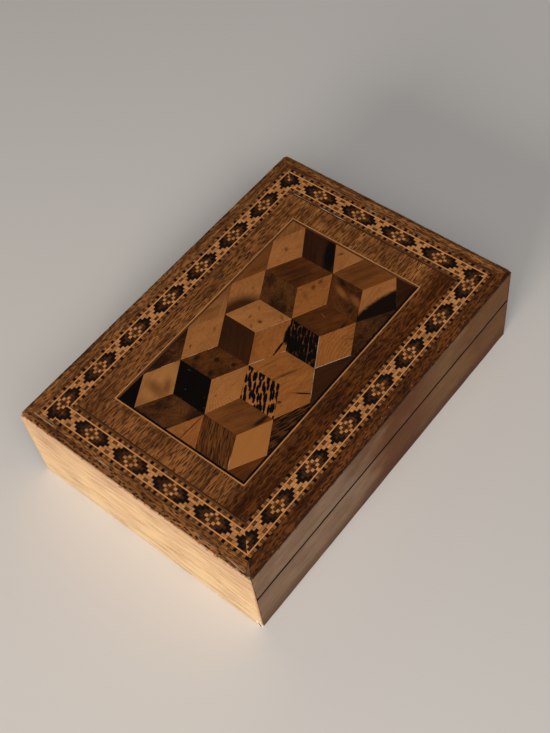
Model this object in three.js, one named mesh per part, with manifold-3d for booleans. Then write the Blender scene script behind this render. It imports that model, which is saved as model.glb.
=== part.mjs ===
// Inlaid wooden puzzle box: a base tray, a hinged lid and an end panel that slides down.
// Units are millimetres. +X runs along the long side, from the sliding end to the fixed end,
// +Y runs towards the hinges and +Z is up. The origin is the centre of the underside.
import * as THREE from "three";
import { mergeVertices } from "three/addons/utils/BufferGeometryUtils.js";
import Module from "manifold-3d";

const wasm = await Module();
wasm.setup();

// ---- Driving dimensions ----------------------------------------------------------------
const LENGTH = 150;
const DEPTH = 105;
const HEIGHT = 38.8;
const SEAM_Z = 22.3; // height of the joint between tray and lid
const SEAM_GAP = 0.3;
const GAP = 0.3; // running clearance beside pieces that move
const GLUE_LINE = 0.05; // width of the joint between neighbouring inlays

const WALL = 5; // long walls and long lid rails
const INNER_WALL = 3; // cross walls of the tray and cross rails of the lid
const BASE_BOARD = 3;
const LID_BOARD = 4;
const INLAY = 0.8; // thickness of every veneer on the lid
const END_VENEER = 0.6;
const END_CORE = 2.9;
const LID_CLEARANCE = 1.2; // lets the lid's front rail swing in past the end cores

const TONGUE = 1.0; // thickness of the loose tongues that guide the sliding panel
const TONGUE_DEPTH = 1.5; // how far a tongue reaches into its groove

const BANDING = 5; // outer banding on the long sides
const MOSAIC = 9; // mosaic band
const INNER_LINE = 1.1; // dark line inside the mosaic on the short sides
const STRING = 0.6; // each stringing line
const CUBE = 14.2; // side of a parquetry rhombus
const PANEL_COLUMNS = 8; // half-widths of a rhombus along the panel
const PANEL_ROWS = 4; // rhombus sides across the panel

const HINGE_X = 45; // each hinge's distance from the middle
const HINGE_LENGTH = 18;
const KNUCKLE_R = 1;
const KNUCKLE_END = 5; // length of each outer knuckle
const PIN_R = 0.4;
const PIN_CLEARANCE = 0.05;
const LEAF = 0.7;
const LEAF_DEPTH = 2.4;
const SCREW_X = 6; // each screw's distance from its hinge's middle
const SCREW_HEAD_R = 0.75;
const SCREW_SHANK_R = 0.4;
const SCREW_LENGTH = 4;

// ---- Levels and faces worked out from them -----------------------------------------------
const END_X = LENGTH / 2;
const SIDE_Y = DEPTH / 2;
const CORE_OUT = END_X - END_VENEER; // outer face of an end panel's core
const CORE_IN = CORE_OUT - END_CORE;
const LID_X = CORE_OUT - GAP; // half-length of the lid
const WALL_IN = SIDE_Y - WALL; // inner face of the long walls
const TRAY_OUT = CORE_IN - GAP; // outer face of the cross walls
const TRAY_IN = TRAY_OUT - INNER_WALL;
const TRAY_TOP = SEAM_Z - SEAM_GAP / 2;
const LID_BOTTOM = SEAM_Z + SEAM_GAP / 2;
const INLAY_Z = HEIGHT - INLAY;
const BOARD_Z = INLAY_Z - LID_BOARD; // underside of the lid board
const CORE_TOP = BOARD_Z - GAP;
const PIVOT_Y = SIDE_Y - KNUCKLE_R;
const LEAF_OUT = PIVOT_Y - KNUCKLE_R - GAP; // plate edge beside the knuckles
const LEAF_IN = LEAF_OUT - LEAF_DEPTH;
const SCREW_Y = (LEAF_IN + LEAF_OUT) / 2;
const CHAMFER = KNUCKLE_R + 0.1; // stops the open lid just past upright
const PANEL_X = (PANEL_COLUMNS * CUBE * Math.cos(Math.PI / 6)) / 2;
const PANEL_Y = (PANEL_ROWS * CUBE) / 2;

// ---- Shapes ------------------------------------------------------------------------------
function box(x0, x1, y0, y1, z0, z1) {
  const shape = new THREE.BoxGeometry(x1 - x0, y1 - y0, z1 - z0);
  shape.translate((x0 + x1) / 2, (y0 + y1) / 2, (z0 + z1) / 2);
  return shape;
}

function outlineShape(points) {
  return new THREE.Shape(points.map(([x, y]) => new THREE.Vector2(x, y)));
}

// A flat sheet with the plan outline given, between two heights.
function sheet(points, z0, z1, hole = null) {
  const plan = outlineShape(points);
  if (hole) plan.holes.push(outlineShape(hole));
  const shape = new THREE.ExtrudeGeometry(plan, { depth: z1 - z0, bevelEnabled: false });
  shape.translate(0, 0, z0);
  return shape;
}

// A bar along X with its section given as [y, z] points.
function barAlongX(section, x0, x1) {
  const shape = new THREE.ExtrudeGeometry(outlineShape(section), {
    depth: x1 - x0,
    bevelEnabled: false,
  });
  shape.rotateY(Math.PI / 2);
  shape.rotateX(Math.PI / 2);
  shape.translate(x0, 0, 0);
  return shape;
}

function rodAlongX(radius, x0, x1) {
  const shape = new THREE.CylinderGeometry(radius, radius, x1 - x0, 24);
  shape.rotateZ(Math.PI / 2);
  shape.translate((x0 + x1) / 2, PIVOT_Y, SEAM_Z);
  return shape;
}

// ---- Booleans ----------------------------------------------------------------------------
function solidOf(geometry) {
  const bare = geometry.clone();
  bare.deleteAttribute("normal");
  bare.deleteAttribute("uv");
  const merged = mergeVertices(bare, 1e-4);
  const mesh = new wasm.Mesh({
    numProp: 3,
    vertProperties: new Float32Array(merged.attributes.position.array),
    triVerts: new Uint32Array(merged.index.array),
  });
  return new wasm.Manifold(mesh);
}

function geometryOf(solid) {
  const mesh = solid.getMesh();
  const geometry = new THREE.BufferGeometry();
  geometry.setAttribute("position", new THREE.BufferAttribute(mesh.vertProperties, 3));
  geometry.setIndex(new THREE.BufferAttribute(mesh.triVerts, 1));
  geometry.computeVertexNormals();
  return geometry;
}

function cut(body, tools) {
  let solid = solidOf(body);
  for (const tool of tools) solid = solid.subtract(solidOf(tool));
  return geometryOf(solid);
}

function joinAndCut(bodies, tools) {
  let solid = solidOf(bodies[0]);
  for (const body of bodies.slice(1)) solid = solid.add(solidOf(body));
  for (const tool of tools) solid = solid.subtract(solidOf(tool));
  return geometryOf(solid);
}

// ---- Materials: each piece gets its own ---------------------------------------------------
function wood(color, roughness = 0.55) {
  return () => new THREE.MeshStandardMaterial({ color, roughness, metalness: 0 });
}
const walnut = wood("#6b4a36");
const bandingWood = wood("#5f3f25");
const borderWood = wood("#6f4a2c");
const paleVeneer = wood("#d3a377", 0.6);
const pineCore = wood("#c9a878", 0.7);
const mosaicWood = wood("#7a5636");
const boxwood = wood("#b98a5c");
const ebony = wood("#17110d", 0.45);
const parquetryWood = wood("#8f6238");
const brass = () => new THREE.MeshStandardMaterial({ color: "#b08d4a", roughness: 0.35, metalness: 1 });

const group = new THREE.Group();

function place(parent, name, geometry, makeMaterial) {
  const mesh = new THREE.Mesh(geometry, makeMaterial());
  mesh.name = name;
  parent.add(mesh);
}

// ---- Hinges --------------------------------------------------------------------------------
const KNUCKLE_SPLIT = HINGE_LENGTH / 2 - KNUCKLE_END; // half-length of the middle knuckle's slot

function knuckleSpans(x, which) {
  const half = HINGE_LENGTH / 2;
  if (which === "middle") return [[x - KNUCKLE_SPLIT + GAP, x + KNUCKLE_SPLIT - GAP]];
  return [[x - half, x - KNUCKLE_SPLIT], [x + KNUCKLE_SPLIT, x + half]];
}

// A countersunk screw with its head level with z, pointing down, or up when turned over.
// With a clearance it is the hole for that screw, and stands a little proud of the surface.
function screwShape(x, z, pointsUp, clearance = 0) {
  const head = SCREW_HEAD_R + clearance;
  const shank = SCREW_SHANK_R + clearance;
  const length = SCREW_LENGTH + clearance;
  const profile = [
    [0, -length],
    [shank, -length + shank],
    [shank, shank - head],
    [head, 0],
  ];
  if (clearance > 0) profile.push([head, clearance]);
  profile.push([0, clearance]);
  const points = profile.map(([r, h]) => new THREE.Vector2(r, h));
  const shape = new THREE.LatheGeometry(points, 16);
  shape.rotateX(pointsUp ? -Math.PI / 2 : Math.PI / 2);
  shape.translate(x, SCREW_Y, z);
  return shape;
}

function screwHoles(x, z, pointsUp) {
  return [-SCREW_X, SCREW_X].map((dx) => screwShape(x + dx, z, pointsUp, PIN_CLEARANCE));
}

// One butt-hinge leaf: a countersunk plate with tabs that run into its knuckles.
function hingeLeaf(x, which, plateBottom, screwLevel) {
  const half = HINGE_LENGTH / 2;
  const plateTop = plateBottom + LEAF;
  const bodies = [box(x - half, x + half, LEAF_IN, LEAF_OUT, plateBottom, plateTop)];
  for (const [x0, x1] of knuckleSpans(x, which)) {
    bodies.push(box(x0, x1, LEAF_OUT - GAP, PIVOT_Y - PIN_R / 2, plateBottom, plateTop));
    bodies.push(rodAlongX(KNUCKLE_R, x0, x1));
  }
  const bore = rodAlongX(PIN_R + PIN_CLEARANCE, x - half - 1, x + half + 1);
  return joinAndCut(bodies, [bore, ...screwHoles(x, screwLevel, which === "middle")]);
}

// The pocket in the wood for one leaf, its barrel and its screws.
function hingePocket(x, z0, z1, screwLevel, pointsUp) {
  const half = HINGE_LENGTH / 2 + PIN_CLEARANCE;
  return [
    box(x - half, x + half, LEAF_IN - PIN_CLEARANCE, PIVOT_Y, z0, z1),
    rodAlongX(KNUCKLE_R + GAP, x - half, x + half),
    ...screwHoles(x, screwLevel, pointsUp),
  ];
}

function hinge(name, x) {
  const upperTop = LID_BOTTOM + LEAF;
  place(group, `${name}_lower_leaf`, hingeLeaf(x, "ends", TRAY_TOP - LEAF, TRAY_TOP), brass);
  place(group, `${name}_upper_leaf`, hingeLeaf(x, "middle", LID_BOTTOM, LID_BOTTOM), brass);
  place(group, `${name}_pin`, rodAlongX(PIN_R, x - HINGE_LENGTH / 2, x + HINGE_LENGTH / 2), brass);
  [-SCREW_X, SCREW_X].forEach((dx, i) => {
    place(group, `${name}_lower_screw_${i + 1}`, screwShape(x + dx, TRAY_TOP, false), brass);
    place(group, `${name}_upper_screw_${i + 1}`, screwShape(x + dx, LID_BOTTOM, true), brass);
  });
}

// ---- Tray ------------------------------------------------------------------------------------
function frontWall() {
  const wall = box(-LID_X, CORE_OUT, -SIDE_Y, -WALL_IN, 0, TRAY_TOP);
  return cut(wall, [tongueGroove(-1)]);
}

function backWall() {
  const section = [
    [WALL_IN, 0],
    [SIDE_Y, 0],
    [SIDE_Y, TRAY_TOP - CHAMFER],
    [SIDE_Y - CHAMFER, TRAY_TOP],
    [WALL_IN, TRAY_TOP],
  ];
  const pockets = [-HINGE_X, HINGE_X].flatMap((x) =>
    hingePocket(x, TRAY_TOP - LEAF, TRAY_TOP + 1, TRAY_TOP, false),
  );
  return cut(barAlongX(section, -LID_X, CORE_OUT), [tongueGroove(1), ...pockets]);
}

// The upright groove in a long wall for a tongue of the sliding end.
function tongueGroove(side) {
  const middle = -(CORE_OUT + CORE_IN) / 2;
  const half = TONGUE / 2 + GAP;
  const y0 = side * (WALL_IN - 1);
  const y1 = side * (WALL_IN + TONGUE_DEPTH);
  return box(middle - half, middle + half, Math.min(y0, y1), Math.max(y0, y1), -1, TRAY_TOP + 1);
}

function tray() {
  place(group, "base_board", box(-TRAY_OUT, CORE_IN, -WALL_IN, WALL_IN, 0, BASE_BOARD), pineCore);
  place(group, "front_wall", frontWall(), walnut);
  place(group, "back_wall", backWall(), walnut);
  const crossWall = (x0, x1) => box(x0, x1, -WALL_IN, WALL_IN, BASE_BOARD, TRAY_TOP);
  place(group, "near_cross_wall", crossWall(-TRAY_OUT, -TRAY_IN), walnut);
  place(group, "far_cross_wall", crossWall(TRAY_IN, CORE_IN), walnut);
  place(group, "far_end_core", endCore(1), walnut);
  place(group, "far_end_veneer", endVeneer(1), walnut);
}

// ---- End panels ------------------------------------------------------------------------------
// A core stands between the long rails of the lid and keeps clear of the front one.
function endCore(side) {
  const x0 = side > 0 ? CORE_IN : -CORE_OUT;
  return box(x0, x0 + END_CORE, LID_CLEARANCE - WALL_IN, WALL_IN - GAP, 0, CORE_TOP);
}

function endVeneer(side) {
  const x0 = side > 0 ? CORE_OUT : -END_X;
  return box(x0, x0 + END_VENEER, -SIDE_Y, SIDE_Y, 0, HEIGHT);
}

function slidingEnd() {
  const middle = -(CORE_OUT + CORE_IN) / 2;
  const reach = WALL_IN + TONGUE_DEPTH - GAP;
  const tongue = (y0, y1) =>
    box(middle - TONGUE / 2, middle + TONGUE / 2, y0, y1, 0, TRAY_TOP - GAP);
  place(group, "sliding_end_core", endCore(-1), walnut);
  place(group, "sliding_end_veneer", endVeneer(-1), paleVeneer);
  place(group, "sliding_end_front_tongue", tongue(-reach, LID_CLEARANCE - WALL_IN), walnut);
  place(group, "sliding_end_back_tongue", tongue(WALL_IN - GAP, reach), walnut);
}

// ---- Lid -------------------------------------------------------------------------------------
function lidBackRail() {
  const section = [
    [WALL_IN, LID_BOTTOM],
    [SIDE_Y - CHAMFER, LID_BOTTOM],
    [SIDE_Y, LID_BOTTOM + CHAMFER],
    [SIDE_Y, INLAY_Z],
    [WALL_IN, INLAY_Z],
  ];
  const pockets = [-HINGE_X, HINGE_X].flatMap((x) =>
    hingePocket(x, LID_BOTTOM - 1, LID_BOTTOM + LEAF, LID_BOTTOM, true),
  );
  return cut(barAlongX(section, -LID_X, LID_X), pockets);
}

function lidFrame() {
  place(group, "lid_board", box(-LID_X, LID_X, -WALL_IN, WALL_IN, BOARD_Z, INLAY_Z), pineCore);
  const frontRail = box(-LID_X, LID_X, -SIDE_Y, -WALL_IN, LID_BOTTOM, INLAY_Z);
  place(group, "lid_front_rail", frontRail, walnut);
  place(group, "lid_back_rail", lidBackRail(), walnut);
  const crossRail = (x0) => box(x0, x0 + INNER_WALL, -WALL_IN, WALL_IN, LID_BOTTOM, BOARD_Z);
  place(group, "lid_near_rail", crossRail(-TRAY_OUT), walnut);
  place(group, "lid_far_rail", crossRail(TRAY_IN), walnut);
}

// The four mitred strips between an outer and an inner rectangle, each given as [x, y]
// half-sizes. Half a glue line is left on every side of a strip.
function mitredFrame(name, outer, inner, makeMaterial) {
  const [ox, oy] = outer;
  const [ix, iy] = inner;
  const g = GLUE_LINE / 2;
  const long = (s) => [
    [-ox + g, s * oy],
    [ox - g, s * oy],
    [ix - g, s * (iy + g)],
    [-ix + g, s * (iy + g)],
  ];
  const short = (s) => [
    [s * ox, -oy + g],
    [s * ox, oy - g],
    [s * (ix + g), iy - g],
    [s * (ix + g), -iy + g],
  ];
  const strips = { front: long(-1), back: long(1), near: short(-1), far: short(1) };
  for (const [side, points] of Object.entries(strips)) {
    place(group, `${name}_${side}`, sheet(points, INLAY_Z, HEIGHT), makeMaterial);
  }
}

function rectangle([x, y]) {
  return [
    [-x, -y],
    [x, -y],
    [x, y],
    [-x, y],
  ];
}

function lidInlay() {
  const grow = ([x, y], by) => [x + by, y + by];
  const g = GLUE_LINE;
  const bandingIn = [END_X - BANDING, SIDE_Y - BANDING];
  const mosaicIn = grow(bandingIn, -MOSAIC);
  const panel = [PANEL_X, PANEL_Y];
  const darkOut = grow(panel, STRING);
  const lightOut = grow(darkOut, STRING);
  const borderOut = [mosaicIn[0] - INNER_LINE, mosaicIn[1]];

  mitredFrame("banding", [LID_X, SIDE_Y], bandingIn, bandingWood);
  mitredFrame("mosaic", grow(bandingIn, -g / 2), mosaicIn, mosaicWood);
  for (const [side, x0] of [["near", -mosaicIn[0]], ["far", borderOut[0]]]) {
    const line = box(x0 + g, x0 + INNER_LINE - g, -mosaicIn[1], mosaicIn[1], INLAY_Z, HEIGHT);
    place(group, `inner_line_${side}`, line, ebony);
  }
  const frame = sheet(rectangle(grow(borderOut, -g)), INLAY_Z, HEIGHT, rectangle(grow(lightOut, g)));
  place(group, "border_veneer", frame, borderWood);
  mitredFrame("light_string", lightOut, darkOut, boxwood);
  mitredFrame("dark_string", grow(darkOut, -g / 2), panel, ebony);
  const cubes = box(g - PANEL_X, PANEL_X - g, g - PANEL_Y, PANEL_Y - g, INLAY_Z, HEIGHT);
  place(group, "parquetry_panel", cubes, parquetryWood);
}

tray();
slidingEnd();
lidFrame();
lidInlay();
hinge("near_hinge", -HINGE_X);
hinge("far_hinge", HINGE_X);

export default group;
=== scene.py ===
import math
import random

import bmesh
import bpy
from mathutils import Matrix, Quaternion, Vector, noise


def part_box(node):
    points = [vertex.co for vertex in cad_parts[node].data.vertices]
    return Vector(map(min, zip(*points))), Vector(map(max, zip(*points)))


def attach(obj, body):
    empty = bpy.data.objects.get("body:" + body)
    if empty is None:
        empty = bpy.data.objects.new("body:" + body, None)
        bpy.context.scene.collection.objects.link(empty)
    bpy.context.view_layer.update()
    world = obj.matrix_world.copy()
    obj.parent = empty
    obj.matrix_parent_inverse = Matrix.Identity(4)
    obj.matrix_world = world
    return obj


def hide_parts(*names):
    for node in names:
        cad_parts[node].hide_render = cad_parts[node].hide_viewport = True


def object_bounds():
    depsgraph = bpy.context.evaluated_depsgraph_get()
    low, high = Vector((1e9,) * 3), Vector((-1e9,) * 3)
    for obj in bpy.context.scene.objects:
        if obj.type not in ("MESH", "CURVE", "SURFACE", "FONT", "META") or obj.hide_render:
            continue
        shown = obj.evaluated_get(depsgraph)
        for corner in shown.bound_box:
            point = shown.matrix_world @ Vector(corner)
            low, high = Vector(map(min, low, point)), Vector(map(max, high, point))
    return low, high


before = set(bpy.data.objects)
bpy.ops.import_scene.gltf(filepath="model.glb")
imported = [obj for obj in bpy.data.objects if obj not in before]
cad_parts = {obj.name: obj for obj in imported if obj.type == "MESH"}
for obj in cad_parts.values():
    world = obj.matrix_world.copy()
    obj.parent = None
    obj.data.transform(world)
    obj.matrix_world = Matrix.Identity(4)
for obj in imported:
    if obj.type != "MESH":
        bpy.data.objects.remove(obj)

CAD_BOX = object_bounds()

# Lengths below are in millimetres; meshes are scaled to metres as they are made.
MM = 0.001


def span(node):
    """Lowest and highest corner of a CAD node, in millimetres."""
    low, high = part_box(node)
    return low / MM, high / MM


TOP = span("border_veneer")[1].z
FACE = TOP - 0.03  # the inlay lies a hair below the end veneers
INLAY_Z = span("border_veneer")[0].z
LID_X, SIDE_Y = span("banding_front")[1].x, span("back_wall")[1].y
BANDING_IN = Vector((span("banding_far")[0].x, span("banding_back")[0].y))
MOSAIC_IN = Vector((span("mosaic_far")[0].x, span("mosaic_back")[0].y))
BORDER_OUT = span("border_veneer")[1].xy
LIGHT_OUT = span("light_string_back")[1].xy
DARK_OUT = span("dark_string_back")[1].xy
PANEL = span("parquetry_panel")[1].xy
SEAM_Z = (span("front_wall")[1].z + span("lid_front_rail")[0].z) / 2

# ---- Camera, floor and light ----
CAMERA_PLACE = Vector((-0.1634, -0.1729, 0.3673))
CAMERA_AIM = Vector((0.3907, 0.4127, -0.8229))
CAMERA_ROLL = math.radians(-9.39)
LENS = 56.0


def add_object(name, data):
    thing = bpy.data.objects.new(name, data)
    bpy.context.scene.collection.objects.link(thing)
    return thing


def make_camera():
    data = bpy.data.cameras.new("camera")
    data.lens = LENS
    data.sensor_width = 36
    data.clip_start = 0.01
    camera = add_object("camera", data)
    camera.location = CAMERA_PLACE
    level = CAMERA_AIM.to_track_quat("-Z", "Y")
    camera.rotation_mode = "QUATERNION"
    camera.rotation_quaternion = level @ Quaternion((0, 0, 1), CAMERA_ROLL)
    bpy.context.scene.camera = camera


# name, place, size, watts, colour: every light is aimed at the middle of the box
LIGHTS = (
    ("window_key", (-1.1, -0.22, 0.40), (0.5, 0.35), 11, (1.0, 0.89, 0.78)),
    ("camera_side_fill", (-0.85, -1.1, 1.7), (1.6, 1.3), 27, (1.0, 0.975, 0.94)),
)
SKY_COLOUR = (0.92, 0.96, 1.0, 1)
SKY_STRENGTH = 0.08


def area_light(name, place, size, watts, colour):
    data = bpy.data.lights.new(name, "AREA")
    data.shape = "RECTANGLE"
    data.size, data.size_y = size
    data.energy = watts
    data.color = colour
    light = add_object(name, data)
    light.location = place
    light.rotation_euler = (-Vector(place)).to_track_quat("-Z", "Y").to_euler()


FLOOR_COLOUR = (0.71, 0.69, 0.67, 1)
FLOOR_HALF = 3.0  # metres


def make_stage():
    scene = bpy.context.scene
    scene.view_settings.view_transform = "Standard"
    world = bpy.data.worlds.new("studio")
    scene.world = world
    world.use_nodes = True
    sky = world.node_tree.nodes["Background"]
    sky.inputs["Color"].default_value = SKY_COLOUR
    sky.inputs["Strength"].default_value = SKY_STRENGTH
    for light in LIGHTS:
        area_light(*light)

    mesh = bpy.data.meshes.new("floor")
    half = FLOOR_HALF
    corners = [(-half, -half, 0), (half, -half, 0), (half, half, 0), (-half, half, 0)]
    mesh.from_pydata(corners, [], [(0, 1, 2, 3)])
    floor = add_object("floor", mesh)
    material = bpy.data.materials.new("pale_floor")
    material.use_nodes = True
    shader = material.node_tree.nodes["Principled BSDF"]
    shader.inputs["Base Color"].default_value = FLOOR_COLOUR
    shader.inputs["Roughness"].default_value = 0.4
    mesh.materials.append(material)


# ---- Node materials ----
FAR = 1e5  # stretches a mark so far into the wood that its depth doesn't matter


class Nodes:
    """A small helper that adds nodes to a material and wires them."""

    def __init__(self, name):
        self.material = bpy.data.materials.new(name)
        self.material.use_nodes = True
        self.tree = self.material.node_tree
        self.shader = self.tree.nodes["Principled BSDF"]

    def add(self, kind, inputs=None, **settings):
        node = self.tree.nodes.new(kind)
        for key, value in settings.items():
            setattr(node, key, value)
        for key, value in (inputs or {}).items():
            self.feed(node.inputs[key], value)
        return node

    def feed(self, socket, value):
        if isinstance(value, bpy.types.NodeSocket):
            self.tree.links.new(value, socket)
        elif isinstance(value, tuple) and len(value) == 3 and socket.type == "RGBA":
            socket.default_value = (*value, 1)
        else:
            socket.default_value = value

    def math(self, operation, a, b=0.0, clamp=False):
        node = self.add("ShaderNodeMath", {0: a, 1: b}, operation=operation, use_clamp=clamp)
        return node.outputs[0]

    def plus(self, a, b):
        return self.math("ADD", a, b)

    def minus(self, a, b):
        return self.math("SUBTRACT", a, b)

    def times(self, a, b):
        return self.math("MULTIPLY", a, b)

    def swing(self, value, size):
        """A value of 0 to 1 as one that swings by half the size to either side of 0."""
        return self.times(self.minus(value, 0.5), size)

    def mix(self, factor, a, b, blend="MIX"):
        node = self.add("ShaderNodeMix", data_type="RGBA", blend_type=blend)
        self.feed(node.inputs[0], factor)
        self.feed(node.inputs[6], a)
        self.feed(node.inputs[7], b)
        return node.outputs[2]

    def vector(self, operation, a, b=(0, 0, 0)):
        return self.add("ShaderNodeVectorMath", {0: a, 1: b}, operation=operation).outputs[0]

    def axes(self, vector):
        return self.add("ShaderNodeSeparateXYZ", {0: vector}).outputs

    def stretch(self, vector, scale):
        return self.vector("MULTIPLY", vector, scale)

    def noise(self, vector, scale, detail=3.0, distortion=0.0, rough=0.55):
        inputs = {"Vector": self.stretch(vector, scale), "Scale": 1.0, "Detail": detail}
        inputs.update(Roughness=rough, Distortion=distortion)
        return self.add("ShaderNodeTexNoise", inputs).outputs["Fac"]

    def cells(self, vector, scale, scatter=1.0, dimensions="3D"):
        """Distance to the nearest of many scattered points."""
        inputs = {"Vector": self.stretch(vector, scale), "Scale": 1.0, "Randomness": scatter}
        node = self.add("ShaderNodeTexVoronoi", inputs, voronoi_dimensions=dimensions)
        return node.outputs["Distance"]

    def range(self, value, low, high, out_low=0.0, out_high=1.0):
        inputs = {0: value, 1: low, 2: high, 3: out_low, 4: out_high}
        return self.add("ShaderNodeMapRange", inputs, interpolation_type="SMOOTHSTEP").outputs[0]

    def distance(self, p, middle, size, angle=0.0):
        """Distance from a point of the veneer, in units of the two sizes, turned by the angle."""
        inputs = {0: p, 1: (*middle, 0), 2: (0, 0, angle), 3: (*size, FAR)}
        turned = self.add("ShaderNodeMapping", inputs, vector_type="TEXTURE")
        length = self.add("ShaderNodeVectorMath", {0: turned.outputs[0]}, operation="LENGTH")
        return length.outputs["Value"]

    def coordinates(self):
        """Wood coordinates in millimetres: along the grain, across it, and into the wood."""
        return self.add("ShaderNodeAttribute", attribute_name="wood").outputs["Vector"]

    def place(self):
        """Where a point is in the box, in metres."""
        return self.add("ShaderNodeTexCoord").outputs["Object"]

    def surface(self, colour, roughness):
        self.feed(self.shader.inputs["Base Color"], colour)
        self.feed(self.shader.inputs["Roughness"], roughness)

    def bump(self, height, millimetres):
        node = self.add("ShaderNodeBump", {"Height": height, "Distance": millimetres * MM})
        self.feed(self.shader.inputs["Normal"], node.outputs[0])


def srgb(red, green, blue):
    """A colour given as 0 to 255 screen values, as linear numbers."""
    return tuple(
        (c / 255 / 12.92) if c < 11 else ((c / 255 + 0.055) / 1.055) ** 2.4
        for c in (red, green, blue)
    )


# How fast each pattern changes per millimetre: along the grain, across it, into the wood.
GRAIN_PACE = (0.04, 0.9, 0.9)
FIBRE_PACE = (0.3, 4.0, 4.0)
CLOUD_PACE = (0.06, 0.1, 0.1)
STAIN_PACE = (0.55, 0.8, 0.55)
SMUDGE_PACE = (0.06, 0.12, 0.12)
PORE_PACE = 2.3  # across the grain
ARRIS_PACE = (420, 420, 420)  # per metre
MIDTONES = (0.34, 0.66)  # the part of a noise that is spread over the whole tone
NICK_COLOUR = srgb(196, 170, 140)
SEAM_COLOUR = srgb(30, 14, 8)


def arris_wear(n):
    """1 along the outer edges of the box, fading to 0 a ragged millimetre or two away."""
    place = n.place()
    middle = Vector((0, 0, TOP / 2)) * MM
    axes = n.axes(n.vector("ABSOLUTE", n.vector("SUBTRACT", place, middle)))
    half = (Vector(CAD_BOX[1]) - Vector(CAD_BOX[0])) / 2
    depth = [n.minus(half[i], axes[i]) for i in range(3)]
    total = n.plus(n.plus(depth[0], depth[1]), depth[2])
    least = n.math("MINIMUM", n.math("MINIMUM", depth[0], depth[1]), depth[2])
    most = n.math("MAXIMUM", n.math("MAXIMUM", depth[0], depth[1]), depth[2])
    second = n.minus(n.minus(total, least), most)
    ragged = n.noise(place, ARRIS_PACE, detail=5, rough=0.7)
    reach = n.range(ragged, 0.4, 0.66, 0.1 * MM, 2.0 * MM)
    return n.range(n.math("DIVIDE", second, reach), 1.1, 0.4)


def on_lid(x, y, middle, turn):
    """A point of the lid in the wood coordinates of a piece with that middle and grain angle."""
    return Matrix.Rotation(-turn, 2) @ (Vector((x, y)) - middle)


def stain(n, p, colour, mark, middle, turn):
    """Mixes one soft elliptical mark into the colour.

    A mark is (x, y, half length, half width, angle, softness, colour), placed as on the lid, or
    in the wood coordinates of a piece whose middle isn't given.
    """
    x, y, reach, width, angle, soft, stain_colour = mark
    spot = on_lid(x, y, middle, turn)
    distance = n.distance(p, spot, (reach, width), math.radians(angle) - turn)
    ragged = 1.2 * min(1.0, 0.9 / width)
    wobble = n.swing(n.noise(p, STAIN_PACE, 4.0), ragged)
    inside = n.range(n.plus(distance, wobble), 1.0 + soft, 1.0 - soft)
    return n.mix(inside, colour, srgb(*stain_colour))


def finer(pace, fineness):
    along, across, inwards = pace
    return along, across * fineness, inwards * fineness


def swirled(n, p, burr):
    """Wood coordinates pushed about, so that the grain swirls."""
    swirl = n.add(
        "ShaderNodeTexNoise", {"Vector": n.stretch(p, (0.17,) * 3), "Scale": 1.0, "Detail": 3.0}
    )
    shift = n.vector("SUBTRACT", swirl.outputs["Color"], (0.5,) * 3)
    return n.vector("ADD", p, n.stretch(shift, (22 * burr,) * 3))


def growth_rings(n, p, clouds, rings, middle, turn):
    """Waves of tone round the heart of the tree."""
    x, y, pitch = rings
    radius = n.distance(p, on_lid(x, y, middle, turn), (1.7, 1))
    ripple = n.plus(radius, n.times(clouds, 3.0))
    return n.times(n.math("SINE", n.times(ripple, 2 * math.pi / pitch)), 0.22)


def pore_map(n, p_grain, pores, pore_length, fineness):
    """Fine dark dashes along the grain."""
    pace = (0.9 / pore_length, PORE_PACE * fineness, PORE_PACE * fineness)
    pore = n.range(n.noise(p_grain, pace, 2.5), 0.62 - 0.1 * pores, 0.7 - 0.1 * pores)
    return n.times(pore, min(0.9, 0.3 + 0.7 * pores) if pores else 0.0)


def dark_eyes(n, p, spots):
    edge = n.plus(n.cells(p, (0.3,) * 3), n.times(n.noise(p, (0.5,) * 3, 3.0), 0.6))
    return n.times(n.range(edge, 0.58, 0.34), spots)


def fleck_map(n, p, p_grain, radius, length, pitch):
    """One long fleck in each cell of the grain."""
    cells = n.cells(p_grain, (1 / length, 1 / pitch, 0), 0.85, "2D")
    uneven = n.swing(n.noise(p, (0.9,) * 3), 0.9 * radius)
    return n.range(n.plus(cells, uneven), 1.15 * radius, 0.85 * radius)


def shaded(n, colour, clouds, shades):
    """The colour with each shade multiplied in past its wandering line."""
    axes = n.axes(n.place())
    wander = n.swing(clouds, 40 * MM)
    for shade, axis, start, end in shades:
        level = n.plus(axes[axis], wander if axis == 0 else n.times(wander, 0.15))
        fade = n.range(level, start * MM, end * MM)
        colour = n.mix(fade, colour, shade, "MULTIPLY")
    return colour


def seam_shadow(n):
    """1 beside the joint between tray and lid, on the outer faces of the long sides only."""
    axes = n.axes(n.place())
    gap = n.range(n.math("ABSOLUTE", n.minus(axes[2], SEAM_Z * MM)), 0.9 * MM, 0.52 * MM)
    outer = n.range(n.math("ABSOLUTE", axes[1]), (SIDE_Y - 0.6) * MM, (SIDE_Y - 0.2) * MM)
    return n.times(gap, outer)


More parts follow.
